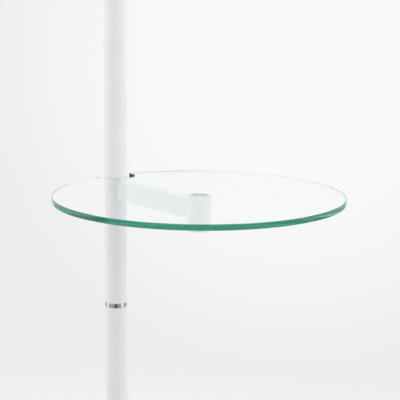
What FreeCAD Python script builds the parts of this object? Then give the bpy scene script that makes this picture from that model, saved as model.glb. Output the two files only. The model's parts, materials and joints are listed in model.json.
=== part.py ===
import FreeCAD, Part
import math
import os

from FreeCAD import Vector

os.makedirs("parts", exist_ok=True)

# Floor lamp with a round glass table. Millimetres, +Z up.
# The origin is on the floor under the middle of the base, on the axis of the pole.
# +X runs from the pole to the middle of the table.

# Clearances
slip = 0.05              # a bush in its tube, a screw in its thread, a brazed joint
loose = 0.4              # a part that drops into its place
spindle_clearance = 0.05
knob_gap = 0.5           # between the knob and the collar it turns in front of
fine = 0.1               # the disc under the glass and the floor of its recess
overcut = 1.0            # how far a cutting shape runs past what it cuts

# Pole
pole_diameter = 25.0
tube_wall = 1.2
middle_tube_length = 424.0
upper_tube_length = 400.0
ring_below_table = 144.5  # top of the glass to the top of the bright ring
ring_height = 5.4
ring_chamfer = 0.35
joint_thread_diameter = 16.0
joint_bore = 8.0
bush_length = 18.0
foot_bush_length = 16.0
tube_cap_thickness = 2.0
tube_cap_chamfer = 1.0
spigot_chamfer = 1.0
spigot_end_gap = 2.0      # the end of the spigot and the end of the socket
pipe_diameter = 10.0      # the threaded pipe of the base and of the lampholder
pipe_bore = 6.4

# Base
base_diameter = 300.0
base_height = 26.0
cover_wall = 1.2
cover_floor_gap = 1.5
pad_thickness = 2.0
pad_inset = 4.0
bottom_plate_thickness = 1.0
weight_web = 8.0
weight_rim_width = 18.0
pipe_pocket_diameter = 60.0
pipe_pocket_web = 5.0
base_washer_thickness = 1.2
base_washer_diameter = 24.0
base_nut_across_flats = 17.0
base_nut_height = 4.0
pipe_overrun = 0.5        # how far a threaded pipe stands out of its nut
plate_screw_count = 3
plate_screw_diameter = 4.0
plate_screw_head_diameter = 8.0
plate_screw_head_height = 1.5
plate_screw_length = 9.0

# Way in for the mains cord
inlet_height = 11.0
inlet_bore = 7.0
grommet_neck_diameter = 10.4
grommet_flange_diameter = 14.0
grommet_flange_thickness = 2.0
grommet_edge_radius = 0.6
inlet_channel_width = 20.0

# Terminals and the lead inside the pole
block_length = 20.0
block_width = 18.0
block_distance = 62.0
clamp_screw_spacing_x = 12.5
clamp_screw_spacing_y = 11.2
clamp_screw_diameter = 3.0
clamp_screw_depth = 6.0
fixing_screw_depth = 5.0
screw_head_diameter = 5.5
screw_head_height = 1.6
lead_diameter = 4.8

# Table
table_height = 600.0
glass_diameter = 300.0
glass_thickness = 6.0
glass_arris = 0.7
notch_width = 42.0
notch_corner_radius = 3.0
pole_inside_rim = 5.5     # how far the axis of the pole lies inside the line of the rim
gasket_thickness = 0.5
boss_diameter = 25.0
boss_height = 31.0
boss_edge_radius = 0.6
boss_web = 5.0
boss_counterbore = 15.0
arm_width = 12.0
arm_height = 21.0
arm_drop = 3.2            # top of the boss to the top of the arm
arm_corner_radius = 2.8
arm_edge_radius = 0.9
disc_diameter = 18.0
disc_thickness = 3.0
stud_diameter = 8.0
stud_washer_diameter = 14.2
stud_washer_thickness = 1.6
stud_nut_across_flats = 12.0
stud_nut_height = 6.5
stud_overrun = 1.5

# Lampholder
holder_hub_diameter = 18.0
holder_hub_height = 4.0
holder_cap_diameter = 34.0
holder_cap_height = 24.0
holder_hub_chamfer = 0.8
holder_cap_wall = 1.8
holder_diameter = 39.0
holder_height = 32.0
holder_wall = 2.2
holder_shelf = 2.5
holder_wire_hole = 17.0
holder_flange_diameter = 46.0
holder_flange_below = 6.0
holder_flange_thickness = 2.5
thread_pitch = 2.5
thread_depth = 0.7
core_height = 9.0
core_clearance = 0.3
core_screw_circle = 20.0
core_screw_depth = 4.5
core_screw_head_diameter = 4.3
core_screw_head_height = 1.4
sleeve_radius = 13.9
sleeve_wall = 0.5
lamp_thread_pitch = 3.6
lamp_thread_depth = 0.35
lamp_thread_lead_in = 1.0
sleeve_turns = 5
contact_width = 5.0
contact_length = 16.0
contact_thickness = 0.6
contact_rise = 4.5

# Rotary switch
switch_height = 10.0
switch_below_shell = 1.0
spindle_diameter = 4.0
spindle_depth = 13.0      # how far the spindle reaches into the switch
collar_shank_diameter = 8.0
collar_flange_diameter = 12.0
collar_flange_thickness = 2.0
collar_chamfer = 0.5
spindle_end_gap = 0.5
knob_diameter = 14.0
knob_length = 12.0
knob_wall = 3.0
knob_edge = 1.0
knob_groove_count = 20
knob_groove_radius = 0.55

# Bulb
tip_gap = 0.3
tip_radius = 4.6
tip_height = 2.0
tip_point = 0.6           # share of the tip's radius and height where its round nose starts
insulator_lip = 0.8
insulator_radius = 9.5
insulator_height = 3.5
bulb_cap_radius = 13.0
bulb_cap_wall = 0.5
bulb_cap_turns = 5
bulb_cap_skirt = 3.0
housing_plug = 4.0
housing_neck_lip = 0.8
housing_neck_height = 3.0
housing_band = 4.0
housing_height = 38.0
housing_top_radius = 28.0
board_radius = 25.0
board_thickness = 1.6
globe_radius = 30.0
globe_wall = 1.2
globe_seat = 0.2

# Shade
shade_bottom_diameter = 370.0
shade_top_diameter = 320.0
shade_height = 235.0
shade_wall = 1.0
shade_below_pole = 20.0   # how far the shade hangs past the end of the pole
ring_wire_diameter = 4.0
wire_gap = 0.3
arm_wire_diameter = 3.5
shade_arm_count = 3
shade_arm_first_angle = 90.0
shade_arm_shoulder = 39.0 # pole axis to where an arm turns down
shade_arm_bend_radius = 7.0
fitter_diameter = 62.0
fitter_thickness = 1.2
shade_nut_diameter = 52.0
shade_nut_height = 7.0
shade_nut_grip_count = 12
shade_nut_grip_radius = 2.0
shade_nut_chamfer = 1.0

# Worked out from the sizes above
pole_radius = pole_diameter / 2
bush_radius = pole_radius - tube_wall - slip
pipe_radius = pipe_diameter / 2
pipe_hole_radius = pipe_radius + slip
joint_thread_radius = joint_thread_diameter / 2
glass_bottom = table_height - glass_thickness
table_reach = glass_diameter / 2 - pole_inside_rim
boss_top = glass_bottom - gasket_thickness
boss_bottom = boss_top - boss_height
lower_ring_top = table_height - ring_below_table
lower_tube_top = lower_ring_top - ring_height
middle_tube_top = lower_ring_top + middle_tube_length
upper_ring_top = middle_tube_top + ring_height
upper_tube_top = upper_ring_top + upper_tube_length
holder_bottom = upper_tube_top + tube_cap_thickness
plate_top = pad_thickness + bottom_plate_thickness
weight_top = base_height - cover_wall
base_edge_radius = base_height - inlet_height - grommet_flange_diameter / 2
weight_radius = base_diameter / 2 - cover_wall - loose
web_bottom = weight_top - weight_web
pipe_washer_top = weight_top - pipe_pocket_web
pipe_nut_top = pipe_washer_top - base_washer_thickness
base_pipe_bottom = pipe_nut_top - base_nut_height - pipe_overrun
lead_level = plate_top + loose + lead_diameter / 2
lead_bend_radius = base_pipe_bottom - lead_level
shell_bottom = holder_bottom + holder_cap_height
shell_top = shell_bottom + holder_height
flange_top = shell_bottom + holder_flange_below + holder_flange_thickness
core_bottom = shell_bottom + holder_shelf
core_top = core_bottom + core_height
switch_bottom = shell_bottom - switch_height - switch_below_shell
spindle_height = switch_bottom + switch_height / 2
fitter_top = flange_top + fitter_thickness
bulb_bottom = core_top + contact_rise + contact_thickness + tip_gap
bulb_cap_bottom = bulb_bottom + tip_height + insulator_height
bulb_cap_top = bulb_cap_bottom + bulb_cap_turns * lamp_thread_pitch + bulb_cap_skirt
housing_top = bulb_cap_top + housing_height
shade_bottom = upper_tube_top - shade_below_pole
shade_top = shade_bottom + shade_height

X_AXIS = Vector(1, 0, 0)
Y_AXIS = Vector(0, 1, 0)
Z_AXIS = Vector(0, 0, 1)


def rod(radius, bottom, top, x=0.0, y=0.0):
    """An upright solid cylinder between two heights."""
    return Part.makeCylinder(radius, top - bottom, Vector(x, y, bottom))


def tube(outer, inner, bottom, top, x=0.0, y=0.0):
    """An upright cylinder with a round bore right through."""
    return rod(outer, bottom, top, x, y).cut(rod(inner, bottom - overcut, top + overcut, x, y))


def bend(centre, radius, start_angle, end_angle):
    """The middle and the end of an arc of a profile, as one step of lathe()."""
    points = []
    for angle in ((start_angle + end_angle) / 2, end_angle):
        turn = math.radians(angle)
        points.append((centre[0] + radius * math.cos(turn), centre[1] + radius * math.sin(turn)))
    return tuple(points)


def lathe(start, *steps):
    """A solid turned about Z. A step is a point (radius, height), or the middle and end of an arc."""
    edges = []
    here = Vector(start[0], 0, start[1])
    for step in steps:
        if isinstance(step[0], tuple):
            middle, end = (Vector(point[0], 0, point[1]) for point in step)
            edges.append(Part.Arc(here, middle, end).toShape())
        else:
            end = Vector(step[0], 0, step[1])
            edges.append(Part.LineSegment(here, end).toShape())
        here = end
    edges.append(Part.LineSegment(here, Vector(start[0], 0, start[1])).toShape())
    turned = Part.Face(Part.Wire(edges)).revolve(Vector(0, 0, 0), Z_AXIS, 360)
    return Part.Solid(turned) if turned.ShapeType == "Shell" else turned


def hexagon(across_flats, bottom, top, x=0.0, y=0.0):
    """An upright hexagonal prism."""
    corner = across_flats / math.sqrt(3)
    points = []
    for index in range(7):
        turn = math.radians(60 * index)
        points.append(Vector(x + corner * math.cos(turn), y + corner * math.sin(turn), bottom))
    return Part.Face(Part.makePolygon(points)).extrude(Z_AXIS * (top - bottom))


def hex_nut(across_flats, bore_radius, bottom, top, x=0.0, y=0.0):
    """A hexagonal nut with its corners turned down."""
    corner = across_flats / math.sqrt(3)
    drop = (corner - across_flats / 2) / 2
    crown = lathe((0, bottom), (across_flats / 2, bottom), (corner, bottom + drop),
                  (corner, top - drop), (across_flats / 2, top), (0, top))
    crown.translate(Vector(x, y, 0))
    nut = hexagon(across_flats, bottom, top, x, y).common(crown)
    return nut.cut(rod(bore_radius, bottom - overcut, top + overcut, x, y))


def around(count, radius, first_angle=0.0):
    """Points evenly spaced on a circle about Z, from an angle in degrees."""
    places = []
    for index in range(count):
        turn = math.radians(first_angle + 360.0 * index / count)
        places.append((radius * math.cos(turn), radius * math.sin(turn)))
    return places


def ripples(radius, bottom, count, pitch, depth, upwards=True):
    """Steps of lathe() along a wall with a rolled round thread, up or down it."""
    steps = []
    halves = range(2 * count) if upwards else reversed(range(2 * count))
    for half in halves:
        near = bottom + half * pitch / 2
        end = near + pitch / 2 if upwards else near
        bulge = depth if half % 2 else -depth
        steps.append(((radius + bulge, near + pitch / 4), (radius, end)))
    return steps


def bent_rod(start, knee, end, bend_radius, radius):
    """A round rod or lead from start to end, with one smooth bend at the knee."""
    back = (start - knee).normalize()
    onward = (end - knee).normalize()
    half_angle = back.getAngle(onward) / 2
    to_bend = bend_radius / math.tan(half_angle)
    inward = (back + onward).normalize()
    bend_start = knee + back * to_bend
    bend_middle = knee + inward * (bend_radius / math.sin(half_angle) - bend_radius)
    bend_end = knee + onward * to_bend
    route = Part.Wire([Part.LineSegment(start, bend_start).toShape(),
                       Part.Arc(bend_start, bend_middle, bend_end).toShape(),
                       Part.LineSegment(bend_end, end).toShape()])
    section = Part.Wire(Part.makeCircle(radius, start, back))
    return route.makePipeShell([section], True, False)


def base():
    """Cover, cast weight, bottom plate and pad, with the screws that hold them together."""
    nodes = {}
    outer = base_diameter / 2
    inner_radius = base_edge_radius - cover_wall
    corner = (outer - base_edge_radius, base_height - base_edge_radius)
    cover = lathe((pipe_hole_radius, base_height), (pipe_hole_radius, weight_top), (corner[0], weight_top),
                  bend(corner, inner_radius, 90, 0), (outer - cover_wall, cover_floor_gap),
                  (outer, cover_floor_gap), (outer, corner[1]), bend(corner, base_edge_radius, 0, 90))
    inlet_hole = Part.makeCylinder(grommet_neck_diameter / 2 + slip, base_edge_radius,
                                   Vector(-outer - overcut, 0, inlet_height), X_AXIS)
    nodes["base_cover"] = cover.cut(inlet_hole)

    rim_inner = weight_radius - weight_rim_width
    weight_corner = (weight_radius - inner_radius, weight_top - inner_radius)
    weight = lathe((pipe_hole_radius, weight_top), (pipe_hole_radius, pipe_washer_top),
                   (pipe_pocket_diameter / 2, pipe_washer_top), (pipe_pocket_diameter / 2, web_bottom),
                   (rim_inner, web_bottom), (rim_inner, plate_top), (weight_radius, plate_top),
                   (weight_radius, weight_corner[1]), bend(weight_corner, inner_radius, 0, 90))
    channel_top = inlet_height + grommet_flange_diameter / 2 + loose
    channel = Part.makeBox(weight_rim_width + 2 * overcut, inlet_channel_width, channel_top,
                           Vector(-weight_radius - overcut, -inlet_channel_width / 2, 0))
    weight = weight.cut(channel)

    plate_radius = weight_radius - loose
    plate = rod(plate_radius, pad_thickness, plate_top)
    pad = rod(plate_radius - pad_inset, 0, pad_thickness)
    screw_radius = plate_screw_diameter / 2
    head_radius = plate_screw_head_diameter / 2
    screw_top = plate_top + plate_screw_length
    screws = []
    for x, y in around(plate_screw_count, weight_radius - weight_rim_width / 2):
        weight = weight.cut(rod(screw_radius + slip, plate_top - overcut, screw_top + overcut, x, y))
        plate = plate.cut(rod(screw_radius + loose, pad_thickness - overcut, plate_top + overcut, x, y))
        pad = pad.cut(rod(head_radius + loose, -overcut, pad_thickness + overcut, x, y))
        head = rod(head_radius, pad_thickness - plate_screw_head_height, pad_thickness, x, y)
        screws.append(head.fuse(rod(screw_radius, pad_thickness, screw_top, x, y)))
    fixing_hole = rod(clamp_screw_diameter / 2 + slip, web_bottom - overcut,
                      web_bottom + fixing_screw_depth + overcut, -block_distance)
    nodes["base_weight"] = weight.cut(fixing_hole)
    nodes["bottom_plate"] = plate
    nodes["base_pad"] = pad
    nodes["plate_screws"] = Part.makeCompound(screws)
    return nodes


def base_fastening():
    """The threaded pipe, washer and nut that clamp the base to the foot of the pole."""
    foot_bush_top = base_height + foot_bush_length
    return {
        "base_pipe": tube(pipe_radius, pipe_bore / 2, base_pipe_bottom, foot_bush_top),
        "base_washer": tube(base_washer_diameter / 2, pipe_hole_radius, pipe_nut_top, pipe_washer_top),
        "base_nut": hex_nut(base_nut_across_flats, pipe_hole_radius, pipe_nut_top - base_nut_height,
                            pipe_nut_top),
        "foot_bush": tube(bush_radius, pipe_hole_radius, base_height, foot_bush_top),
    }


def cord_grommet():
    """The rubber grommet in the base's edge, opposite the table, where the mains cord goes in."""
    outside = base_diameter / 2
    neck = grommet_neck_diameter / 2
    flange = grommet_flange_diameter / 2
    outer_face = outside + slip + grommet_flange_thickness
    inner_wall = math.sqrt((outside - cover_wall) ** 2 - flange ** 2) - slip
    edge = grommet_edge_radius
    grommet = lathe((inlet_bore / 2, outer_face), (flange - edge, outer_face),
                    bend((flange - edge, outer_face - edge), edge, 90, 0), (flange, outside + slip),
                    (neck, outside + slip), (neck, inner_wall), (flange, inner_wall),
                    (flange, inner_wall - grommet_flange_thickness),
                    (inlet_bore / 2, inner_wall - grommet_flange_thickness))
    grommet.rotate(Vector(0, 0, 0), Y_AXIS, -90)
    grommet.translate(Vector(0, 0, inlet_height))
    return grommet


def terminals():
    """The terminal block under the weight's web, its clamp screws and its fixing screw."""
    block_bottom = plate_top + loose
    block = Part.makeBox(block_length, block_width, web_bottom - block_bottom,
                         Vector(-block_distance - block_length / 2, -block_width / 2, block_bottom))
    screw_radius = clamp_screw_diameter / 2
    head_radius = screw_head_diameter / 2
    head_top = block_bottom + screw_head_height
    places = [(-block_distance, 0.0, web_bottom + fixing_screw_depth)]
    for along in (-1, 1):
        for across in (-1, 1):
            places.append((-block_distance + along * clamp_screw_spacing_x / 2,
                           across * clamp_screw_spacing_y / 2, head_top + clamp_screw_depth))
    screws = []
    for x, y, screw_top in places:
        hole_top = min(screw_top, web_bottom) + overcut
        block = block.cut(rod(head_radius + fine, block_bottom - overcut, head_top, x, y))
        block = block.cut(rod(screw_radius + slip, block_bottom, hole_top, x, y))
        head = rod(head_radius, block_bottom, head_top, x, y)
        screws.append(head.fuse(rod(screw_radius, head_top, screw_top, x, y)))
    return {"terminal_block": block, "terminal_screws": Part.makeCompound(screws)}


def inner_lead():
    """The lead from the terminals, round one bend into the pipe, and up the pole to the switch."""
    start = Vector(-block_distance + block_length / 2, 0, lead_level)
    return bent_rod(start, Vector(0, 0, lead_level), Vector(0, 0, switch_bottom),
                    lead_bend_radius, lead_diameter / 2)


def pole_tube(bottom, top):
    """One length of the painted pole, its ends slightly eased."""
    inner = pole_radius - tube_wall
    eased = ring_chamfer / 2
    return lathe((inner, bottom), (pole_radius - eased, bottom), (pole_radius, bottom + eased),
                 (pole_radius, top - eased), (pole_radius - eased, top), (inner, top))


def joint(tube_top, ring_top):
    """The threaded socket in one tube, the bright ring, and the spigot of the next tube."""
    socket = tube(bush_radius, joint_thread_radius + slip, tube_top - bush_length, tube_top)
    ring = lathe((joint_thread_radius + loose, tube_top), (pole_radius - ring_chamfer, tube_top),
                 (pole_radius, tube_top + ring_chamfer), (pole_radius, ring_top - ring_chamfer),
                 (pole_radius - ring_chamfer, ring_top), (joint_thread_radius + loose, ring_top))
    spigot_foot = tube_top - bush_length + spigot_end_gap
    spigot = lathe((joint_bore / 2, spigot_foot), (joint_thread_radius - spigot_chamfer, spigot_foot),
                   (joint_thread_radius, spigot_foot + spigot_chamfer), (joint_thread_radius, ring_top),
                   (bush_radius, ring_top), (bush_radius, ring_top + bush_length),
                   (joint_bore / 2, ring_top + bush_length))
    return socket, ring, spigot


def pole():
    """Three tubes, their two screwed joints, and the cap that closes the top tube."""
    nodes = {}
    nodes["lower_tube"] = pole_tube(base_height, lower_tube_top)
    nodes["middle_tube"] = pole_tube(lower_ring_top, middle_tube_top)
    nodes["upper_tube"] = pole_tube(upper_ring_top, upper_tube_top)
    for name, tube_top, ring_top in (("lower", lower_tube_top, lower_ring_top),
                                     ("upper", middle_tube_top, upper_ring_top)):
        socket, ring, spigot = joint(tube_top, ring_top)
        nodes[name + "_joint_socket"] = socket
        nodes[name + "_joint_ring"] = ring
        nodes[name + "_joint_spigot"] = spigot
    cap_foot = upper_tube_top - foot_bush_length
    nodes["upper_tube_cap"] = lathe(
        (pipe_hole_radius, cap_foot), (bush_radius, cap_foot), (bush_radius, upper_tube_top),
        (pole_radius, upper_tube_top), (pole_radius, holder_bottom - tube_cap_chamfer),
        (pole_radius - tube_cap_chamfer, holder_bottom), (pipe_hole_radius, holder_bottom))
    return nodes


def table():
    """The glass with its notch, the parts that hold it to the boss, and the arm on the pole."""
    nodes = {}
    glass = rod(glass_diameter / 2, glass_bottom, table_height, table_reach)
    notch_radius = notch_width / 2
    notch = rod(notch_radius, glass_bottom - overcut, table_height + overcut)
    notch = notch.fuse(Part.makeBox(glass_diameter, notch_width, glass_thickness + 2 * overcut,
                                    Vector(-glass_diameter, -notch_radius, glass_bottom - overcut)))
    glass = glass.cut(notch)
    glass = glass.makeFillet(notch_corner_radius, [edge for edge in glass.Edges if is_notch_corner(edge)])
    level_edges = [edge for edge in glass.Edges if edge.BoundBox.ZLength < slip]
    nodes["glass_top"] = glass.makeChamfer(glass_arris, level_edges)

    recess_floor = glass_bottom - disc_thickness - fine
    web_floor = recess_floor - boss_web
    washer_bottom = web_floor - stud_washer_thickness
    nut_bottom = washer_bottom - stud_nut_height
    stud_radius = stud_diameter / 2
    disc_radius = disc_diameter / 2
    disc = rod(disc_radius, glass_bottom - disc_thickness, glass_bottom, table_reach)
    disc = disc.fuse(rod(stud_radius, nut_bottom - stud_overrun, glass_bottom - disc_thickness, table_reach))
    nodes["glass_stud"] = disc.removeSplitter()
    nodes["glass_gasket"] = tube(boss_diameter / 2 - boss_edge_radius, disc_radius + loose,
                                 boss_top, glass_bottom, table_reach)
    nodes["stud_washer"] = tube(stud_washer_diameter / 2, stud_radius + slip, washer_bottom, web_floor,
                                table_reach)
    nodes["stud_nut"] = hex_nut(stud_nut_across_flats, stud_radius + slip, nut_bottom, washer_bottom,
                                table_reach)

    boss_radius = boss_diameter / 2
    edge = boss_edge_radius
    boss = lathe((stud_radius + loose, web_floor), (boss_counterbore / 2, web_floor),
                 (boss_counterbore / 2, boss_bottom), (boss_radius - edge, boss_bottom),
                 bend((boss_radius - edge, boss_bottom + edge), edge, -90, 0), (boss_radius, boss_top - edge),
                 bend((boss_radius - edge, boss_top - edge), edge, 0, 90), (disc_radius + loose, boss_top),
                 (disc_radius + loose, recess_floor), (stud_radius + loose, recess_floor))
    boss.translate(Vector(table_reach, 0, 0))
    nodes["table_boss"] = boss
    nodes["table_arm"] = table_arm()
    return nodes


def is_notch_corner(edge):
    """True for the two upright edges where the notch meets the rim of the glass."""
    foot = edge.Vertexes[0].Point
    upright = edge.BoundBox.ZLength > glass_thickness / 2
    from_middle = math.hypot(foot.x - table_reach, foot.y)
    return upright and abs(from_middle - glass_diameter / 2) < slip and abs(foot.y) > slip


def table_arm():
    """A flat bar between pole and boss. It meets both round faces, and is rounded at the pole."""
    top = boss_top - arm_drop
    bottom = top - arm_height
    half = arm_width / 2
    start = math.sqrt(pole_radius ** 2 - half ** 2)
    radius = arm_corner_radius
    shift = radius * (1 - math.sqrt(0.5))
    points = {
        "low": Vector(table_reach, -half, bottom),
        "low arc": Vector(start + radius, -half, bottom),
        "low middle": Vector(start + shift, -half, bottom + shift),
        "low end": Vector(start, -half, bottom + radius),
        "high arc": Vector(start, -half, top - radius),
        "high middle": Vector(start + shift, -half, top - shift),
        "high end": Vector(start + radius, -half, top),
        "high": Vector(table_reach, -half, top),
    }
    edges = [
        Part.LineSegment(points["low"], points["low arc"]).toShape(),
        Part.Arc(points["low arc"], points["low middle"], points["low end"]).toShape(),
        Part.LineSegment(points["low end"], points["high arc"]).toShape(),
        Part.Arc(points["high arc"], points["high middle"], points["high end"]).toShape(),
        Part.LineSegment(points["high end"], points["high"]).toShape(),
        Part.LineSegment(points["high"], points["low"]).toShape(),
    ]
    bar = Part.Face(Part.Wire(edges)).extrude(Y_AXIS * arm_width)
    long_edges = [edge for edge in bar.Edges if edge.BoundBox.XLength > table_reach / 2]
    bar = bar.makeFillet(arm_edge_radius, long_edges)
    bar = bar.cut(rod(pole_radius + slip, bottom - overcut, top + overcut))
    return bar.cut(rod(boss_diameter / 2 + slip, bottom - overcut, top + overcut, table_reach))


def lampholder():
    """Threaded pipe, cap, outer shell and insulating core of the lampholder, with its metal parts."""
    nodes = {"holder_cap": holder_cap(), "holder_shell": holder_shell()}
    hub_top = holder_bottom + holder_hub_height
    nodes["holder_pipe"] = tube(pipe_radius, pipe_bore / 2, upper_tube_top - foot_bush_length,
                                hub_top + pipe_overrun)

    core = rod(holder_diameter / 2 - holder_wall - core_clearance, core_bottom, core_top)
    screws = []
    for x, y in around(2, core_screw_circle / 2, 45):
        screw_foot = core_top - core_screw_depth
        core = core.cut(rod(clamp_screw_diameter / 2 + slip, screw_foot - fine, core_top + overcut, x, y))
        head = rod(core_screw_head_diameter / 2, core_top, core_top + core_screw_head_height, x, y)
        screws.append(head.fuse(rod(clamp_screw_diameter / 2, screw_foot, core_top, x, y)))
    nodes["holder_core"] = core
    nodes["holder_screws"] = Part.makeCompound(screws)

    outer = sleeve_radius + sleeve_wall
    thread_bottom = core_top + lamp_thread_lead_in
    sleeve_top = thread_bottom + sleeve_turns * lamp_thread_pitch
    up = ripples(outer, thread_bottom, sleeve_turns, lamp_thread_pitch, lamp_thread_depth)
    down = ripples(sleeve_radius, thread_bottom, sleeve_turns, lamp_thread_pitch, lamp_thread_depth, False)
    nodes["thread_sleeve"] = lathe((outer, core_top), (outer, thread_bottom), *up,
                                   (sleeve_radius, sleeve_top), *down, (sleeve_radius, core_top))

    side = -contact_width / 2
    back = contact_length / 2
    foot = Part.makeBox(contact_width, contact_width, contact_thickness,
                        Vector(side, back - contact_width, core_top))
    riser = Part.makeBox(contact_width, contact_thickness, contact_rise + contact_thickness,
                         Vector(side, back - contact_thickness, core_top))
    tongue = Part.makeBox(contact_width, contact_length, contact_thickness,
                          Vector(side, -back, core_top + contact_rise))
    nodes["centre_contact"] = foot.fuse([riser, tongue]).removeSplitter()
    return nodes


def holder_cap():
    """The lower half of the lampholder's case, with the hole for the switch's collar."""
    hub = holder_hub_diameter / 2
    cap = holder_cap_diameter / 2
    wall = holder_cap_wall
    hub_top = holder_bottom + holder_hub_height
    shoulder = cap - hub
    shoulder_centre = (hub, hub_top + shoulder)
    case = lathe((pipe_hole_radius, holder_bottom), (hub - holder_hub_chamfer, holder_bottom),
                 (hub, holder_bottom + holder_hub_chamfer), (hub, hub_top),
                 bend(shoulder_centre, shoulder, -90, 0), (cap, shell_bottom),
                 (cap - wall, shell_bottom), (cap - wall, shoulder_centre[1]),
                 bend(shoulder_centre, shoulder - wall, 0, -90), (pipe_hole_radius, hub_top + wall))
    collar_hole = Part.makeCylinder(collar_shank_diameter / 2 + slip, holder_cap_diameter,
                                    Vector(0, 0, spindle_height), -Y_AXIS)
    return case.cut(collar_hole)


def holder_shell():
    """The upper half of the lampholder's case, with the flange and thread that clamp the shade."""
    cap = holder_cap_diameter / 2
    outer = holder_diameter / 2
    bore = outer - holder_wall
    flange = holder_flange_diameter / 2
    flange_bottom = flange_top - holder_flange_thickness
    turns = int((shell_top - fitter_top - shade_nut_height) / thread_pitch)
    thread_bottom = shell_top - (turns + 0.5) * thread_pitch
    grooves = []
    for turn in range(turns):
        low = thread_bottom + turn * thread_pitch
        grooves.append((outer - thread_depth, low + thread_pitch / 2))
        grooves.append((outer, low + thread_pitch))
    wire_hole = holder_wire_hole / 2
    return lathe((wire_hole, shell_bottom), (cap, shell_bottom), (outer, shell_bottom + outer - cap),
                 (outer, flange_bottom), (flange, flange_bottom), (flange, flange_top), (outer, flange_top),
                 (outer, thread_bottom), *grooves, (outer, shell_top), (bore, shell_top),
                 (bore, core_bottom), (wire_hole, core_bottom))


def rotary_switch():
    """The switch in the holder's cap, its collar, and the knob on its spindle."""
    nodes = {}
    cap_radius = holder_cap_diameter / 2
    spindle_radius = spindle_diameter / 2
    bore = spindle_radius + spindle_clearance
    body = rod(cap_radius - holder_cap_wall - core_clearance, switch_bottom, switch_bottom + switch_height)
    spindle_tail = cap_radius - holder_cap_wall - spindle_depth
    hole_end = Vector(0, spindle_end_gap - spindle_tail, spindle_height)
    spindle_hole = Part.makeCylinder(bore, cap_radius, hole_end, -Y_AXIS)
    nodes["switch_block"] = body.cut(spindle_hole)

    face = cap_radius + slip
    shank = collar_shank_diameter / 2
    flange = collar_flange_diameter / 2
    collar_front = face + collar_flange_thickness
    collar_back = cap_radius - holder_cap_wall
    collar = lathe((bore, collar_back), (shank, collar_back), (shank, face), (flange, face),
                   (flange, collar_front - collar_chamfer), (flange - collar_chamfer, collar_front),
                   (bore, collar_front))
    nodes["spindle_collar"] = face_front(collar)

    knob_back = collar_front + knob_gap
    knob_front = knob_back + knob_length
    spindle_front = knob_front - knob_wall
    nodes["switch_spindle"] = face_front(lathe((0, spindle_tail), (spindle_radius, spindle_tail),
                                               (spindle_radius, spindle_front), (0, spindle_front)))
    knob_radius = knob_diameter / 2
    knob = lathe((spindle_radius + slip, knob_back), (knob_radius - knob_edge / 2, knob_back),
                 (knob_radius, knob_back + knob_edge / 2), (knob_radius, knob_front - knob_edge),
                 bend((knob_radius - knob_edge, knob_front - knob_edge), knob_edge, 0, 90),
                 (0, knob_front), (0, spindle_front + slip), (spindle_radius + slip, spindle_front + slip))
    for x, y in around(knob_groove_count, knob_radius):
        knob = knob.cut(rod(knob_groove_radius, knob_back + knob_edge, knob_front + overcut, x, y))
    nodes["switch_knob"] = face_front(knob)
    return nodes


def face_front(shape):
    """Turns a shape made about Z to lie about the switch's axis, pointing along -Y."""
    turned = shape.copy()
    turned.rotate(Vector(0, 0, 0), X_AXIS, 90)
    turned.translate(Vector(0, 0, spindle_height))
    return turned


def bulb():
    """A screw-in bulb: contact, insulator, threaded cap, housing, light board and globe."""
    nodes = {}
    insulator_bottom = bulb_bottom + tip_height
    nodes["bulb_tip"] = lathe((0, bulb_bottom), (tip_radius * tip_point, bulb_bottom),
                              (tip_radius, bulb_bottom + tip_height * tip_point),
                              (tip_radius, insulator_bottom), (0, insulator_bottom))
    nodes["bulb_insulator"] = lathe((0, insulator_bottom), (tip_radius + insulator_lip, insulator_bottom),
                                    (insulator_radius, bulb_cap_bottom), (0, bulb_cap_bottom))
    cap_inner = bulb_cap_radius - bulb_cap_wall
    thread_bottom = bulb_cap_bottom + lamp_thread_lead_in
    floor = thread_bottom + lamp_thread_lead_in
    up = ripples(bulb_cap_radius, thread_bottom, bulb_cap_turns, lamp_thread_pitch, lamp_thread_depth)
    nodes["bulb_cap"] = lathe((0, bulb_cap_bottom), (insulator_radius, bulb_cap_bottom),
                              (bulb_cap_radius, thread_bottom), *up, (bulb_cap_radius, bulb_cap_top),
                              (cap_inner, bulb_cap_top), (cap_inner, floor), (0, floor))
    neck = bulb_cap_radius + housing_neck_lip
    plug = cap_inner - slip
    nodes["bulb_housing"] = lathe((0, bulb_cap_top - housing_plug), (plug, bulb_cap_top - housing_plug),
                                  (plug, bulb_cap_top), (neck, bulb_cap_top),
                                  (neck, bulb_cap_top + housing_neck_height),
                                  (housing_top_radius, housing_top - housing_band),
                                  (housing_top_radius, housing_top), (0, housing_top))
    nodes["bulb_board"] = rod(board_radius, housing_top, housing_top + board_thickness)
    inner = globe_radius - globe_wall
    seat = housing_top_radius - globe_seat
    centre = housing_top + math.sqrt(globe_radius ** 2 - seat ** 2)
    inner_seat = math.sqrt(inner ** 2 - (centre - housing_top) ** 2)
    outer_angle = -math.degrees(math.acos(seat / globe_radius))
    inner_angle = -math.degrees(math.acos(inner_seat / inner))
    nodes["bulb_globe"] = lathe((seat, housing_top), bend((0, centre), globe_radius, outer_angle, 90),
                                (0, centre + inner), bend((0, centre), inner, 90, inner_angle))
    return nodes


def shade_inner_radius(height):
    """Inside radius of the shade at a height above the floor."""
    share = (height - shade_bottom) / shade_height
    bottom = shade_bottom_diameter / 2 - shade_wall
    top = shade_top_diameter / 2 - shade_wall
    return bottom + (top - bottom) * share


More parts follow.
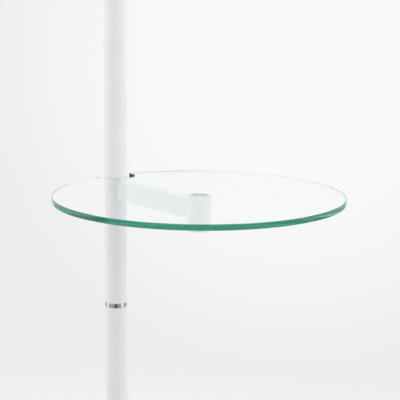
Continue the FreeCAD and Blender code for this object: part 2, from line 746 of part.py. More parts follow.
def shade():
    """The shade's fitter ring with its three arms, its two wire rings, fabric wall and ring nut."""
    nodes = {}
    wire = ring_wire_diameter / 2
    low = shade_bottom + wire
    high = shade_top - wire
    low_radius = shade_inner_radius(low) - wire - wire_gap
    high_radius = shade_inner_radius(high) - wire - wire_gap
    carrier = tube(fitter_diameter / 2, holder_diameter / 2 + core_clearance, flange_top, fitter_top)
    level = flange_top + fitter_thickness / 2
    arm_radius = arm_wire_diameter / 2
    arm_root = shade_nut_diameter / 2 + loose + arm_radius
    arms = []
    for x, y in around(shade_arm_count, 1.0, shade_arm_first_angle):
        root = Vector(x * arm_root, y * arm_root, level)
        knee = Vector(x * shade_arm_shoulder, y * shade_arm_shoulder, level)
        tip = Vector(x * low_radius, y * low_radius, low)
        arms.append(bent_rod(root, knee, tip, shade_arm_bend_radius, arm_radius))
    around_ring = Part.makeTorus(low_radius, wire + slip, Vector(0, 0, low))
    nodes["shade_carrier"] = carrier.fuse(arms).cut(around_ring)
    nodes["shade_lower_ring"] = Part.makeTorus(low_radius, wire, Vector(0, 0, low))
    nodes["shade_upper_ring"] = Part.makeTorus(high_radius, wire, Vector(0, 0, high))
    bottom = shade_bottom_diameter / 2
    top = shade_top_diameter / 2
    nodes["shade_cover"] = lathe((bottom - shade_wall, shade_bottom), (bottom, shade_bottom),
                                 (top, shade_top), (top - shade_wall, shade_top))

    nut_top = fitter_top + shade_nut_height
    nut_radius = shade_nut_diameter / 2
    nut_bore = holder_diameter / 2 + slip
    nut = lathe((nut_bore, fitter_top), (nut_radius, fitter_top), (nut_radius, nut_top - shade_nut_chamfer),
                (nut_radius - shade_nut_chamfer, nut_top), (nut_bore, nut_top))
    for x, y in around(shade_nut_grip_count, nut_radius + shade_nut_grip_radius / 2):
        nut = nut.cut(rod(shade_nut_grip_radius, fitter_top + shade_nut_chamfer, nut_top + overcut, x, y))
    nodes["shade_nut"] = nut
    return nodes


def whole_lamp():
    """Every node of the lamp by name."""
    nodes = {"cord_grommet": cord_grommet(), "inner_lead": inner_lead()}
    for section in (base, base_fastening, terminals, pole, table, lampholder, rotary_switch, bulb, shade):
        nodes.update(section())
    return nodes


for node, shape in whole_lamp().items():
    shape.exportStep("parts/" + node + ".step")
    print(node, len(shape.Solids), "solid", shape.isValid(), round(shape.Volume, 1))
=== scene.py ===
import json
import math

import bmesh
import bpy
from mathutils import Matrix, Vector


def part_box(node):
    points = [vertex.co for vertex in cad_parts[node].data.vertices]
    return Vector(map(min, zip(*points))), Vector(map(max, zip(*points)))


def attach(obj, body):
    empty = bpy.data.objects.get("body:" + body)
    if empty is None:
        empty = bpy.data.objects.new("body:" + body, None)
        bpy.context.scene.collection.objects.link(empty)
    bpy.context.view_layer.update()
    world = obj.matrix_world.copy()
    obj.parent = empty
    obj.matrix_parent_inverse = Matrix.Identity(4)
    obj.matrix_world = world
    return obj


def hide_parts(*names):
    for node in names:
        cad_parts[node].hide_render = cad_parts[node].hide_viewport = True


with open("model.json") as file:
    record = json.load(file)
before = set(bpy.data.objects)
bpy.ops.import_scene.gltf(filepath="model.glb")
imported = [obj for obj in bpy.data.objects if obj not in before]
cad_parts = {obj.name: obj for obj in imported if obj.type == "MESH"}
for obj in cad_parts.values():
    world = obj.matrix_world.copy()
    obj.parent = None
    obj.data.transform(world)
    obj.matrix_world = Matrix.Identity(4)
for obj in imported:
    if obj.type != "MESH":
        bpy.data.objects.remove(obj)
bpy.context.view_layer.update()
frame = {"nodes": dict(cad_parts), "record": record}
nodes = frame["nodes"]
print("frame loaded with", len(nodes), "nodes")

cameraView = {
    "place": (1.06716, -0.77881, 0.82318),
    "azimuth": 49.787,       # degrees, 0 looks along +Y
    "down": 10.748,
    "roll": 0.55,
    "lens": 108.0,
    "sensor": 36.0,
    "clip": (0.01, 100),
}


def placeCamera():
    turn, down, roll = (math.radians(cameraView[key]) for key in ("azimuth", "down", "roll"))
    look = Vector((-math.sin(turn) * math.cos(down), math.cos(turn) * math.cos(down), -math.sin(down)))
    right = Vector((math.cos(turn), math.sin(turn), 0))
    up = right.cross(look)
    leaned = right * math.cos(roll) + up * math.sin(roll)
    upright = up * math.cos(roll) - right * math.sin(roll)
    data = bpy.data.cameras.new("camera")
    data.lens = cameraView["lens"]
    data.sensor_width = cameraView["sensor"]
    data.clip_start, data.clip_end = cameraView["clip"]
    camera = bpy.data.objects.new("camera", data)
    bpy.context.scene.collection.objects.link(camera)
    turned = Matrix((leaned, upright, -look)).transposed().to_4x4()
    camera.matrix_world = Matrix.Translation(cameraView["place"]) @ turned
    bpy.context.scene.camera = camera


placeCamera()
bpy.context.scene.view_settings.view_transform = "Standard"
print("camera placed")


# Helpers for materials and light

def isSocket(value):
    return isinstance(value, bpy.types.NodeSocket)


def fill(socket, value):
    # value is a number, a colour or the output of another node
    if isSocket(value):
        socket.id_data.links.new(value, socket)
    else:
        socket.default_value = value


def addNode(tree, kind, sockets=(), **settings):
    made = tree.nodes.new("ShaderNode" + kind)
    for name, value in settings.items():
        setattr(made, name, value)
    for name, value in dict(sockets).items():
        fill(made.inputs[name], value)
    return made


def calculate(tree, operation, *values):
    return addNode(tree, "Math", enumerate(values), operation=operation).outputs[0]


def lightPath(tree, output):
    return addNode(tree, "LightPath").outputs[output]


def spread(tree, value, low, high, fromLow=0.3, fromHigh=0.7, smooth=False):
    sockets = {"Value": value, "From Min": fromLow, "From Max": fromHigh, "To Min": low, "To Max": high}
    remap = addNode(tree, "MapRange", sockets, interpolation_type="SMOOTHSTEP" if smooth else "LINEAR")
    return remap.outputs["Result"]


def tint(tree, share, first, second):
    first, second = (end if isSocket(end) else (*end, 1) for end in (first, second))
    mix = addNode(tree, "Mix", {"Factor": share, "A": first, "B": second}, data_type="RGBA")
    return mix.outputs["Result"]


def mixShaders(tree, share, first, second):
    return addNode(tree, "MixShader", {0: share, 1: first, 2: second}).outputs[0]


def objectPoint(tree, scale=(1, 1, 1), shift=(0, 0, 0), source="Object"):
    point = addNode(tree, "TexCoord").outputs[source]
    if scale == (1, 1, 1) and shift == (0, 0, 0):
        return point
    return addNode(tree, "Mapping", {"Vector": point, "Scale": scale, "Location": shift}).outputs["Vector"]


def distance(tree, point):
    return addNode(tree, "VectorMath", {0: point}, operation="LENGTH").outputs["Value"]


def noise(tree, point, size, detail=2.0):
    return addNode(tree, "TexNoise", {"Vector": point, "Scale": 1 / size, "Detail": detail}).outputs["Fac"]


def waveScale(period):
    return math.tau / (20 * period)                         # at scale 1 a wave texture repeats every tau / 20


def relief(tree, shader, height, depth):
    bump = addNode(tree, "Bump", {"Height": height, "Distance": depth, "Strength": 1})
    fill(shader.inputs["Normal"], bump.outputs["Normal"])


def principled(name):
    material = bpy.data.materials.new(name)
    material.use_nodes = True
    return material, material.node_tree, material.node_tree.nodes["Principled BSDF"]


# Studio

studio = {
    "backdropDark": 0.855,
    "backdropBright": 0.95,
    "brightSpot": (-0.7116, 0.6989, -0.0712),
    "spotEdge": 0.965,       # cosine of the angle where the bright spot ends
    "ceilingFull": 0.25,     # sine of the height from which the ceiling has its full brightness
    "ceilingAdds": 0.14,     # how much brighter it looks above than at the level of the eye
    "ceilingLight": -0.07,   # and how much less of it falls on the object, so that nothing white burns out
    "bounces": 32,           # enough for light that runs the whole width of the table glass
}


def buildWorld():
    world = bpy.data.worlds.new("studioWorld")
    bpy.context.scene.world = world
    world.use_nodes = True
    tree = world.node_tree
    direction = addNode(tree, "TexCoord").outputs["Generated"]
    towards = addNode(tree, "VectorMath", {0: direction, 1: studio["brightSpot"]}, operation="DOT_PRODUCT")
    backdrop = spread(tree, towards.outputs["Value"], studio["backdropDark"], studio["backdropBright"],
                      studio["spotEdge"], 1, smooth=True)
    height = addNode(tree, "SeparateXYZ", {0: direction}).outputs["Z"]
    shown, thrown = studio["ceilingAdds"], studio["ceilingLight"]
    above = spread(tree, lightPath(tree, "Is Diffuse Ray"), shown, thrown, 0, 1)
    ceiling = spread(tree, height, 0, above, 0, studio["ceilingFull"], smooth=True)
    background = tree.nodes["Background"]
    background.inputs["Color"].default_value = (1, 1, 1, 1)
    fill(background.inputs["Strength"], calculate(tree, "ADD", backdrop, ceiling))
    cycles = bpy.context.scene.cycles
    cycles.max_bounces = cycles.glossy_bounces = cycles.transmission_bounces = studio["bounces"]


buildWorld()

screen = {
    "radius": 2.4,
    "steps": 150,
    "foot": -1.3,            # runs down past the floor, whose edge fades before it
    "top": 2.6,
    "reach": 150.0,          # degrees to each side of the camera's side
    "cameraSide": -36.1,     # bearing of the camera's side
    "brightest": 2.5,
    "upper": [               # degrees right of the camera's side, as the camera sees it, and brightness
        (-150, 0.9), (-120, 1.0), (-100, 1.4), (-80, 1.4), (-56, 1.02), (-30, 0.86), (-14, 0.72), (-6, 0.62),
        (6, 0.6), (14, 0.7), (32, 0.86), (52, 1.15), (70, 1.42), (90, 1.32), (112, 1.0), (150, 0.9)],
    "lower": [
        (-150, 0.95), (-118, 0.9), (-101, 0.85), (-98, 2.3), (-88, 2.3), (-84, 0.72), (-56, 0.68),
        (-20, 0.64), (-12, 0.42), (-8, 0.1), (7, 0.1), (12, 0.46), (26, 0.6), (56, 0.72), (60, 2.0),
        (75, 2.0), (80, 0.85), (108, 0.82), (150, 0.95)],
    "skirting": [            # the band between the two, dark where the notch's wall mirrors it
        (-150, 0.85), (-90, 0.85), (-78, 0.3), (70, 0.3), (80, 0.85), (150, 0.85)],
    "skirtingFrom": 0.07,
    "skirtingTo": 0.25,
    "blend": 0.08,
    "lowShare": 0.66,        # of the brightness, up to the top of the skirting
    "highShare": 1.32,       # and from the height fullFrom
    "fullFrom": 1.5,
}


def bearingRamp(tree, bearing, stops):
    ramp = addNode(tree, "ValToRGB", {0: bearing})
    ramp.color_ramp.interpolation = "EASE"
    elements = ramp.color_ramp.elements
    for index, (angle, light) in enumerate(stops):
        stop = elements[index] if index < 2 else elements.new(1.0)
        stop.position = 0.5 + angle / 360                   # 0.5 is the camera's side
        stop.color = (*(light / screen["brightest"],) * 3, 1)
    return ramp.outputs[0]


def heightMix(tree, height, middle, below, above):
    half = screen["blend"] / 2
    return tint(tree, spread(tree, height, 0, 1, middle - half, middle + half, smooth=True), below, above)


def panelShader(tree):
    camera = (0, 0, -math.radians(screen["cameraSide"]))
    point = addNode(tree, "TexCoord").outputs["Object"]
    turned = addNode(tree, "Mapping", {"Vector": point, "Rotation": camera}).outputs[0]
    bearing = addNode(tree, "TexGradient", {0: turned}, gradient_type="RADIAL").outputs["Fac"]
    height = addNode(tree, "SeparateXYZ", {0: turned}).outputs["Z"]
    ramps = [bearingRamp(tree, bearing, screen[key]) for key in ("lower", "skirting", "upper")]
    light = heightMix(tree, height, screen["skirtingFrom"], ramps[0], ramps[1])
    light = heightMix(tree, height, screen["skirtingTo"], light, ramps[2])
    low, high = (screen["brightest"] * screen[key] for key in ("lowShare", "highShare"))
    strength = spread(tree, height, low, high, screen["skirtingTo"], screen["fullFrom"])
    glow = addNode(tree, "Emission", {"Color": light, "Strength": strength}).outputs[0]
    # the camera sees the backdrop through it, and only mirrored or scattered light meets the panels
    mirrored = calculate(tree, "GREATER_THAN", lightPath(tree, "Glossy Depth"), 0.5)
    meets = calculate(tree, "MAXIMUM", mirrored, lightPath(tree, "Is Diffuse Ray"))
    return mixShaders(tree, meets, addNode(tree, "BsdfTransparent").outputs[0], glow)


def standScreen():
    # a curved screen of light and dark panels round the camera's side, for the object and not for the camera
    start = math.radians(screen["cameraSide"] - screen["reach"])
    x, y = screen["radius"] * math.cos(start), screen["radius"] * math.sin(start)
    bm = bmesh.new()
    foot, head = (bm.verts.new((x, y, screen[key])) for key in ("foot", "top"))
    edge = bm.edges.new((foot, head))
    bmesh.ops.spin(bm, geom=[foot, head, edge], cent=(0, 0, 0), axis=(0, 0, 1),
                   angle=math.radians(2 * screen["reach"]), steps=screen["steps"])
    material, tree, shader = principled("studioPanels")
    tree.nodes.remove(shader)
    fill(tree.nodes["Material Output"].inputs["Surface"], panelShader(tree))
    material.cycles.emission_sampling = "NONE"
    mesh = bpy.data.meshes.new("studioScreen")
    bm.to_mesh(mesh)
    bm.free()
    mesh.materials.append(material)
    panels = bpy.data.objects.new("studioScreen", mesh)
    bpy.context.scene.collection.objects.link(panels)
    panels.visible_camera = panels.visible_shadow = False


standScreen()

softbox = {"place": (-0.35, 0.3, 3.3), "aim": (0.1, 0.0, 0.5), "size": 1.8, "watts": 8.0}


def hangSoftbox():
    data = bpy.data.lights.new("overheadSoftbox", "AREA")
    data.shape = "DISK"
    data.size = softbox["size"]
    data.energy = softbox["watts"]
    lamp = bpy.data.objects.new("overheadSoftbox", data)
    bpy.context.scene.collection.objects.link(lamp)
    lamp.location = softbox["place"]
    lamp.rotation_euler = (Vector(softbox["aim"]) - lamp.location).to_track_quat("-Z", "Y").to_euler()
    lamp.visible_camera = False


hangSoftbox()
print("studio lit")


# Finishes. A varying roughness stays on one side of 0.274, below which the denoiser sees a mirror

def coated(name, look):
    material, tree, shader = principled(name)
    point = objectPoint(tree)
    cloud = spread(tree, noise(tree, point, look["cloudSize"], detail=3), 0, 1)
    fine = noise(tree, point, look["grainSize"], look.get("grainDetail", 2.0))
    relief(tree, shader, fine, look["grainDepth"])
    for socket, value in (("Base Color", tint(tree, cloud, look["colour"], look["second"])),
                          ("Roughness", spread(tree, fine, *look["roughness"])),
                          ("Metallic", look.get("metallic", 0.0)),
                          ("Coat Weight", look.get("coat", 0.0))):
        fill(shader.inputs[socket], value)
    return material


plainFinishes = {
    "white_paint": {"colour": (0.89, 0.89, 0.908), "second": (0.875, 0.875, 0.892), "cloudSize": 0.05,
                    "grainSize": 0.0011, "grainDepth": 0.000012, "roughness": (0.3, 0.4)},
    "cast_weight": {"colour": (0.035, 0.035, 0.038), "second": (0.06, 0.058, 0.055), "cloudSize": 0.02,
                    "grainSize": 0.0016, "grainDepth": 0.0003, "roughness": (0.6, 0.85), "grainDetail": 5.0},
    "white_rubber": {"colour": (0.74, 0.74, 0.73), "second": (0.69, 0.69, 0.68), "cloudSize": 0.006,
                     "grainSize": 0.0004, "grainDepth": 0.00002, "roughness": (0.55, 0.7)},
    "white_plastic": {"colour": (0.83, 0.83, 0.82), "second": (0.8, 0.8, 0.79), "cloudSize": 0.02,
                      "grainSize": 0.0005, "grainDepth": 0.00001, "roughness": (0.28, 0.4)},
    "ceramic": {"colour": (0.84, 0.82, 0.77), "second": (0.78, 0.755, 0.7), "cloudSize": 0.004,
                "grainSize": 0.0009, "grainDepth": 0.00004, "roughness": (0.28, 0.38), "coat": 0.5},
    "black_insulator": {"colour": (0.012, 0.012, 0.014), "second": (0.02, 0.02, 0.024), "cloudSize": 0.003,
                        "grainSize": 0.0006, "grainDepth": 0.00002, "roughness": (0.1, 0.25)},
    "bulb_plastic": {"colour": (0.82, 0.82, 0.81), "second": (0.79, 0.79, 0.78), "cloudSize": 0.015,
                     "grainSize": 0.0005, "grainDepth": 0.000015, "roughness": (0.4, 0.52)},
    "bulb_opal": {"colour": (0.9, 0.9, 0.875), "second": (0.88, 0.88, 0.85), "cloudSize": 0.02,
                  "grainSize": 0.0015, "grainDepth": 0.000008, "roughness": (0.32, 0.42)},
    "lead_sheath": {"colour": (0.74, 0.74, 0.73), "second": (0.7, 0.7, 0.68), "cloudSize": 0.01,
                    "grainSize": 0.0006, "grainDepth": 0.00002, "roughness": (0.4, 0.55)},
    "white_wire": {"colour": (0.84, 0.84, 0.84), "second": (0.8, 0.8, 0.8), "cloudSize": 0.02,
                   "grainSize": 0.0008, "grainDepth": 0.000004, "roughness": (0.29, 0.38)},
    "brass": {"colour": (0.74, 0.56, 0.27), "second": (0.6, 0.42, 0.19), "cloudSize": 0.004,
              "grainSize": 0.0003, "grainDepth": 0.00001, "roughness": (0.28, 0.4), "metallic": 1.0},
    "nickel": {"colour": (0.68, 0.66, 0.62), "second": (0.6, 0.58, 0.54), "cloudSize": 0.004,
               "grainSize": 0.0003, "grainDepth": 0.00001, "roughness": (0.16, 0.26), "metallic": 1.0},
    "board_metal": {"colour": (0.8, 0.8, 0.8), "second": (0.74, 0.74, 0.75), "cloudSize": 0.003,
                    "grainSize": 0.0004, "grainDepth": 0.00001, "roughness": (0.3, 0.45), "metallic": 0.3},
    "clear_vinyl": {"colour": (0.78, 0.81, 0.81), "second": (0.72, 0.76, 0.76), "cloudSize": 0.002,
                    "grainSize": 0.0003, "grainDepth": 0.000006, "roughness": (0.28, 0.42)},
    "shadeLining": {"colour": (0.85, 0.85, 0.84), "second": (0.81, 0.81, 0.79), "cloudSize": 0.03,
                    "grainSize": 0.0007, "grainDepth": 0.00003, "roughness": (0.42, 0.6)},
}
materials = {name: coated(name, look) for name, look in plainFinishes.items()}

chromeLook = {"colour": (0.7, 0.69, 0.72), "second": (0.75, 0.74, 0.77), "smearSize": 0.003,
              "lineSize": 0.0002, "lineStretch": 0.02, "lineDepth": 0.0000004, "roughness": (0.025, 0.055)}


def turnedChrome():
    material, tree, shader = principled("chrome")
    smear = spread(tree, noise(tree, objectPoint(tree), chromeLook["smearSize"], detail=3), 0, 1)
    shader.inputs["Metallic"].default_value = 1
    fill(shader.inputs["Base Color"], tint(tree, smear, chromeLook["colour"], chromeLook["second"]))
    fill(shader.inputs["Roughness"], spread(tree, smear, *chromeLook["roughness"], 0, 1))
    stretch = (chromeLook["lineStretch"], chromeLook["lineStretch"], 1)
    lines = noise(tree, objectPoint(tree, stretch), chromeLook["lineSize"], detail=1)
    relief(tree, shader, lines, chromeLook["lineDepth"])
    return material


materials["chrome"] = turnedChrome()

satinLook = {"colour": (0.47, 0.475, 0.49), "second": (0.6, 0.605, 0.62), "ringSize": 0.0011,
             "ringWaver": 0.6, "ringDepth": 0.00001, "roughness": (0.32, 0.5), "metallic": 0.9,
             "grainSize": 0.0004, "grainShare": 0.6, "lowest": 0.3, "highest": 1.3}


def turnedSatin():
    material, tree, shader = principled("satin_metal")
    low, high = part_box("glass_stud")
    axis = (low + high) / 2
    point = objectPoint(tree, shift=(-axis.x, -axis.y, 0))
    rings = addNode(tree, "TexWave", {"Vector": point, "Scale": waveScale(satinLook["ringSize"]),
                                      "Distortion": satinLook["ringWaver"]},
                    wave_type="RINGS", rings_direction="Z")
    grain = noise(tree, point, satinLook["grainSize"], detail=4)
    both = calculate(tree, "MULTIPLY_ADD", grain, satinLook["grainShare"], rings.outputs["Fac"])
    ends = satinLook["lowest"], satinLook["highest"]
    fill(shader.inputs["Base Color"],
         tint(tree, spread(tree, both, 0, 1, *ends), satinLook["colour"], satinLook["second"]))
    fill(shader.inputs["Roughness"], spread(tree, both, *satinLook["roughness"], *ends))
    relief(tree, shader, both, satinLook["ringDepth"])
    shader.inputs["Metallic"].default_value = satinLook["metallic"]
    return material


materials["satin_metal"] = turnedSatin()

zincLook = {"colour": (0.58, 0.6, 0.62), "second": (0.7, 0.71, 0.69), "spangleSize": 0.0022,
            "lineSize": 0.0003, "lineStretch": 0.05, "lineDepth": 0.00001, "roughness": (0.28, 0.48)}


def zincPlate():
    material, tree, shader = principled("zinc_steel")
    spangle = addNode(tree, "TexVoronoi", {"Vector": objectPoint(tree), "Scale": 1 / zincLook["spangleSize"]})
    grey = addNode(tree, "SeparateColor", {0: spangle.outputs["Color"]})
    fill(shader.inputs["Base Color"], tint(tree, grey.outputs[0], zincLook["colour"], zincLook["second"]))
    fill(shader.inputs["Roughness"], spread(tree, grey.outputs[1], *zincLook["roughness"], 0, 1))
    shader.inputs["Metallic"].default_value = 1
    stretch = (zincLook["lineStretch"], zincLook["lineStretch"], 1)
    relief(tree, shader, noise(tree, objectPoint(tree, stretch), zincLook["lineSize"]), zincLook["lineDepth"])
    return material


materials["zinc_steel"] = zincPlate()

foamLook = {"colour": (0.02, 0.02, 0.021), "second": (0.045, 0.045, 0.047), "cellSize": 0.0009,
            "cellEdge": 0.7, "cellDepth": 0.0003, "roughness": (0.8, 0.95)}


def cellFoam():
    material, tree, shader = principled("black_foam")
    cells = addNode(tree, "TexVoronoi", {"Vector": objectPoint(tree), "Scale": 1 / foamLook["cellSize"]})
    pit = spread(tree, cells.outputs["Distance"], 0, 1, 0, foamLook["cellEdge"])
    # painted shade: the cell hollows, where the relief sinks, are coloured darker than their rims
    fill(shader.inputs["Base Color"], tint(tree, pit, foamLook["colour"], foamLook["second"]))
    fill(shader.inputs["Roughness"], spread(tree, pit, *foamLook["roughness"], 0, 1))
    relief(tree, shader, pit, foamLook["cellDepth"])
    return material


materials["black_foam"] = cellFoam()

glassLook = {
    "ior": 1.52,
    "through": (0.01, 0.64, 0.53),
    "density": 5.0,
    "lampLight": (0.957, 0.957, 0.957),     # what is left of the light that shines straight through
    # painted shade: the darker green given to the outer edge
    "paintedRimShade": (0.23, 0.5, 0.41),
    "edgeRoughness": 0.03,
    "edgeFrom": 0.6,                        # how level a face is, 1 is flat, where the edge begins
    "edgeFull": 0.3,
    "rimFrom": 0.004,                       # how far inside the rim the tint begins
    "rimFull": 0.002,
    "waveSize": 0.09,
    "waveDepth": 0.000002,
}


def floatGlass():
    material, tree, shader = principled("clear_glass")
    shader.inputs["Transmission Weight"].default_value = 1
    shader.inputs["IOR"].default_value = glassLook["ior"]
    # the polished edges stand upright, and the outer one is painted a darker green than the faces, painted
    # shade for the light lost on its long way through the glass
    low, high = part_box("glass_top")
    radius = (high.y - low.y) / 2
    outward = distance(tree, objectPoint(tree, (1, 1, 0), (radius - high.x, 0, 0)))
    normal = addNode(tree, "NewGeometry").outputs["True Normal"]
    level = calculate(tree, "ABSOLUTE", addNode(tree, "SeparateXYZ", {0: normal}).outputs["Z"])
    edge = spread(tree, level, 1, 0, glassLook["edgeFull"], glassLook["edgeFrom"])
    near = spread(tree, outward, 0, 1, radius - glassLook["rimFrom"], radius - glassLook["rimFull"])
    rim = calculate(tree, "MULTIPLY", edge, near)
    # painted shade on the outer edge
    fill(shader.inputs["Base Color"], tint(tree, rim, (1, 1, 1), glassLook["paintedRimShade"]))
    fill(shader.inputs["Roughness"], spread(tree, edge, 0, glassLook["edgeRoughness"], 0, 1))
    waves = noise(tree, objectPoint(tree), glassLook["waveSize"], detail=1)
    relief(tree, shader, waves, glassLook["waveDepth"])
    # the light that falls on things near the glass goes straight through it, apart from what its faces mirror
    inside = addNode(tree, "NewGeometry").outputs["Backfacing"]
    bend = spread(tree, inside, glassLook["ior"], 1 / glassLook["ior"], 0, 1)
    mirrored = addNode(tree, "Fresnel", {"IOR": bend}).outputs[0]
    clear = addNode(tree, "BsdfTransparent", {"Color": (*glassLook["lampLight"], 1)}).outputs[0]
    mirror = addNode(tree, "BsdfAnisotropic", {"Roughness": 0}).outputs[0]
    soft = mixShaders(tree, mirrored, clear, mirror)
    nearby = mixShaders(tree, lightPath(tree, "Is Diffuse Ray"), shader.outputs[0], soft)
    whole = mixShaders(tree, lightPath(tree, "Is Shadow Ray"), nearby, clear)
    green = addNode(tree, "VolumeAbsorption", {"Color": (*glassLook["through"], 1),
                                               "Density": glassLook["density"]})
    fill(tree.nodes["Material Output"].inputs["Surface"], whole)
    fill(tree.nodes["Material Output"].inputs["Volume"], green.outputs[0])
    return material


materials["clear_glass"] = floatGlass()

fabricLook = {"colour": (0.83, 0.82, 0.79), "second": (0.75, 0.735, 0.7), "threadSize": 0.0007,
              "threadWaver": 1.2, "threadDepth": 0.00018, "slubLength": 0.035, "slubWidth": 0.0011,
              "slubShare": 1.4, "lowest": 0.9, "highest": 1.9, "roughness": (0.78, 0.95), "sheen": 0.15}


def shadeWeave():
    material, tree, shader = principled("shade_fabric")
    thread = {"Vector": objectPoint(tree, source="UV"), "Scale": waveScale(fabricLook["threadSize"]),
              "Distortion": fabricLook["threadWaver"], "Detail": 1}
    bands = [addNode(tree, "TexWave", thread, wave_type="BANDS", bands_direction=direction).outputs["Fac"]
             for direction in ("X", "Y")]
    ratio = fabricLook["slubWidth"] / fabricLook["slubLength"]
    slubs = [noise(tree, objectPoint(tree, scale, source="UV"), fabricLook["slubWidth"])
             for scale in ((ratio, 1, 1), (1, ratio, 1))]
    weave, slub = calculate(tree, "MAXIMUM", *bands), calculate(tree, "MAXIMUM", *slubs)
    height = calculate(tree, "MULTIPLY_ADD", slub, fabricLook["slubShare"], weave)
    shown = spread(tree, height, 0, 1, fabricLook["lowest"], fabricLook["highest"])
    # the colour follows the cloth's height: darker in the hollows between the threads, which is painted
    # shade, and lighter on the threads and slubs
    fill(shader.inputs["Base Color"], tint(tree, shown, fabricLook["second"], fabricLook["colour"]))
    fill(shader.inputs["Roughness"], spread(tree, slub, *fabricLook["roughness"]))
    relief(tree, shader, height, fabricLook["threadDepth"])
    shader.inputs["Sheen Weight"].default_value = fabricLook["sheen"]
    return material


materials["shade_fabric"] = shadeWeave()
print("materials made")


def paintNodes():
    # each carried-over node takes the finish of its slot
    for part in frame["record"]["subparts"]:
        node = nodes[part["node"]]
        node.data.materials.clear()
        node.data.materials.append(materials[part["material_slot"]])


paintNodes()


# Pieces made here

meshing = {"merge": 0.000002, "sharpAngle": 32.0}


def newPiece(name, bm, material, sharpAngle=meshing["sharpAngle"]):
    mesh = bpy.data.meshes.new(name)
    bmesh.ops.remove_doubles(bm, verts=bm.verts, dist=meshing["merge"])
    bmesh.ops.recalc_face_normals(bm, faces=bm.faces)
    for face in bm.faces:
        face.smooth = True
    for edge in bm.edges:
        edge.smooth = len(edge.link_faces) == 2 and edge.calc_face_angle(0) < math.radians(sharpAngle)
    bm.to_mesh(mesh)
    bm.free()
    mesh.materials.append(material)
    piece = bpy.data.objects.new(name, mesh)
    bpy.context.scene.collection.objects.link(piece)
    return piece


def turnAround(bm, points, steps, middle=(0, 0, 0), angle=360.0):
    line = [bm.verts.new(point) for point in points]
    edges = [bm.edges.new(pair) for pair in zip(line, line[1:])]
    bmesh.ops.spin(bm, geom=line + edges, cent=middle, axis=(0, 0, 1), angle=math.radians(angle), steps=steps,
                   use_merge=angle == 360.0)


def thicken(piece, name, thickness):
    wall = piece.modifiers.new(name, "SOLIDIFY")
    wall.thickness = thickness
    wall.offset = 0


glassShape = {"rimSteps": 720, "notchSteps": 96, "cornerSteps": 12, "cornerRadius": 0.0015,
              "notchHalf": 0.021, "arris": 0.0005, "merge": 0.00001, "sharpAngle": 20}


def sweepPoint(bm, point, middle, angle, steps):
    arc = bmesh.ops.spin(bm, geom=[point], cent=middle, axis=(0, 0, 1), angle=angle, steps=steps)
    return [part for part in arc["geom_last"] if isinstance(part, bmesh.types.BMVert)][0]


def runPoint(bm, point, onward):
    end = bmesh.ops.extrude_vert_indiv(bm, verts=[point])["verts"][0]
    end.co.x += onward
    return end


def glassTop():
    low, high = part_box("glass_top")
    radius = (high.y - low.y) / 2
    centre = Vector((high.x - radius, 0, low.z))
    across = glassShape["notchHalf"] + glassShape["cornerRadius"]
    back = math.sqrt((radius - glassShape["cornerRadius"]) ** 2 - across ** 2)
    bearing = math.atan2(across, -back)                     # where the rim meets the rounded corner
    cornerTurn = math.pi / 2 - bearing
    upper = Vector((centre.x - back, across, low.z))
    lower = Vector((centre.x - back, -across, low.z))
    pole = Vector((0, 0, low.z))
    bm = bmesh.new()
    here = bm.verts.new(centre + Vector((math.cos(bearing), math.sin(bearing), 0)) * radius)
    here = sweepPoint(bm, here, centre, -2 * bearing, glassShape["rimSteps"])
    here = sweepPoint(bm, here, lower, cornerTurn, glassShape["cornerSteps"])
    here = runPoint(bm, here, pole.x - lower.x)
    here = sweepPoint(bm, here, pole, math.pi, glassShape["notchSteps"])
    here = runPoint(bm, here, upper.x - pole.x)
    sweepPoint(bm, here, upper, cornerTurn, glassShape["cornerSteps"])
    bmesh.ops.remove_doubles(bm, verts=bm.verts, dist=glassShape["merge"])
    bmesh.ops.contextual_create(bm, geom=bm.edges[:])
    raised = bmesh.ops.extrude_face_region(bm, geom=bm.faces[:])
    bmesh.ops.translate(bm, verts=[part for part in raised["geom"] if isinstance(part, bmesh.types.BMVert)],
                        vec=(0, 0, high.z - low.z))
    level = [edge for edge in bm.edges
             if abs(edge.verts[0].co.z - edge.verts[1].co.z) < (high.z - low.z) / 2]
    bmesh.ops.bevel(bm, geom=level, offset=glassShape["arris"], segments=1, profile=0.5, material=-1,
                    affect="EDGES")
    piece = newPiece("glassTop", bm, materials["clear_glass"], glassShape["sharpAngle"])
    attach(piece, "lamp")
    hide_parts("glass_top")


glassTop()
print("glass made")

studShape = {"steps": 96, "discRadius": 0.009, "discHeight": 0.003, "bondDepth": 0.00003,
             "shankRadius": 0.004, "tipChamfer": 0.0006, "easing": 0.0003,
             "crown": 0.3}                                  # share of the easing that its middle lies in


def glassStud():
    low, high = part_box("glass_stud")
    x = (low.x + high.x) / 2
    top, easing, chamfer = high.z + studShape["bondDepth"], studShape["easing"], studShape["tipChamfer"]
    rim, shank = studShape["discRadius"], studShape["shankRadius"]
    foot = high.z - studShape["discHeight"]
    crown = studShape["crown"] * easing
    points = [(0, top), (rim - easing, top), (rim - crown, top - crown), (rim, top - easing),
              (rim, foot + easing), (rim - easing, foot), (shank, foot), (shank, low.z + chamfer),
              (shank - chamfer, low.z), (0, low.z)]
    bm = bmesh.new()
    turnAround(bm, [(x + r, 0, z) for r, z in points], studShape["steps"], (x, 0, 0))
    piece = newPiece("glassStud", bm, materials["satin_metal"])
    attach(piece, "lamp")
    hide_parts("glass_stud")


glassStud()

gasketShape = {"steps": 96, "gapUnderGlass": 0.00003, "gapRoundDisc": 0.0004, "easing": 0.00012}


